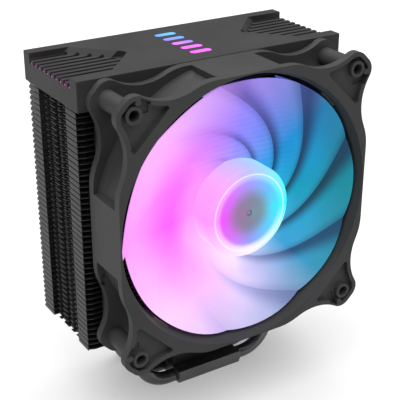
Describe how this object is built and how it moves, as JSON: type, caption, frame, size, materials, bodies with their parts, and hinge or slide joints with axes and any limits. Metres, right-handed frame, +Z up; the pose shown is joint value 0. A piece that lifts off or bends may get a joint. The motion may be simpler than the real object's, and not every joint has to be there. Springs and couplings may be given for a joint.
{
  "type": "cpu tower cooler",
  "caption": "Tower heatsink for a processor: contact base, U-shaped heat pipes through stacked fins, louvred lit top cover and a framed axial fan.",
  "frame": {"origin": "centre of the base's contact face", "axes": "+Z up the tower away from the contact face, -Y towards the fan's intake side, +X to the right as seen from the fan"},
  "size_m": [0.1262, 0.075, 0.1555],
  "materials": {
    "black_fin": "black-coated stamped aluminium, satin",
    "black_pipe": "black nickel plated copper, glossy",
    "dark_base": "black anodised, machined",
    "base_block": "black anodised, machined",
    "cover_plastic": "moulded black plastic, fine matte texture",
    "fan_plastic": "moulded black plastic, matte",
    "frosted_impeller": "frosted translucent plastic",
    "light_guide": "milky translucent acrylic",
    "led_package": "white LED package",
    "circuit_board": "solder-masked glass fibre board",
    "chip_plastic": "moulded chip package",
    "steel": "zinc plated steel",
    "rotor_steel": "drawn steel",
    "magnet": "bonded ferrite magnet",
    "brass": "turned brass",
    "bearing_bronze": "oil-filled sintered bronze",
    "lamination_steel": "stacked steel laminations",
    "white_nylon": "moulded nylon",
    "copper_wire": "enamelled copper winding",
    "soft_rubber": "matte black rubber"
  },
  "bodies": {
    "cooler": {"base_plate": "dark_base", "base_upper_block": "base_block", "base_screws": "steel", "top_cover": "cover_plastic", "cover_light_guide_left": "light_guide", "cover_light_guide_right": "light_guide", "emblem_lens": "light_guide", "cover_led_board": "circuit_board", "cover_leds": "led_package", "cover_board_screws": "steel", "fan_frame": "fan_plastic", "bearing_housing": "brass", "bearing_sleeve": "bearing_bronze", "thrust_plate": "white_nylon", "bearing_plug": "white_nylon", "stator_core": "lamination_steel", "stator_insulator_front": "white_nylon", "stator_insulator_rear": "white_nylon", "motor_board": "circuit_board", "driver_chip": "chip_plastic", "hall_sensor": "chip_plastic", "fan_leds": "led_package", "vibration_strip_left": "soft_rubber", "vibration_strip_right": "soft_rubber", "heat_pipe_1": "black_pipe", "stator_coil_1": "copper_wire", "heat_pipe_2": "black_pipe", "stator_coil_2": "copper_wire", "heat_pipe_3": "black_pipe", "stator_coil_3": "copper_wire", "heat_pipe_4": "black_pipe", "stator_coil_4": "copper_wire", "fin_pack_1": "black_fin", "fin_pack_2": "black_fin", "fin_pack_3": "black_fin", "fin_pack_4": "black_fin", "fin_pack_5": "black_fin", "fin_pack_6": "black_fin", "fin_pack_7": "black_fin", "fin_pack_8": "black_fin", "fin_pack_9": "black_fin"},
    "rotor": {"impeller": "frosted_impeller", "rotor_yoke": "rotor_steel", "rotor_magnet": "magnet", "fan_shaft": "steel", "shaft_clip": "white_nylon"}
  },
  "joints": [
    {"name": "fan_spin", "type": "hinge", "parent": "cooler", "child": "rotor", "pos_m": [0, -0.05035, 0.0952], "axis": [0, -1, 0], "continuous": true}
  ]
}
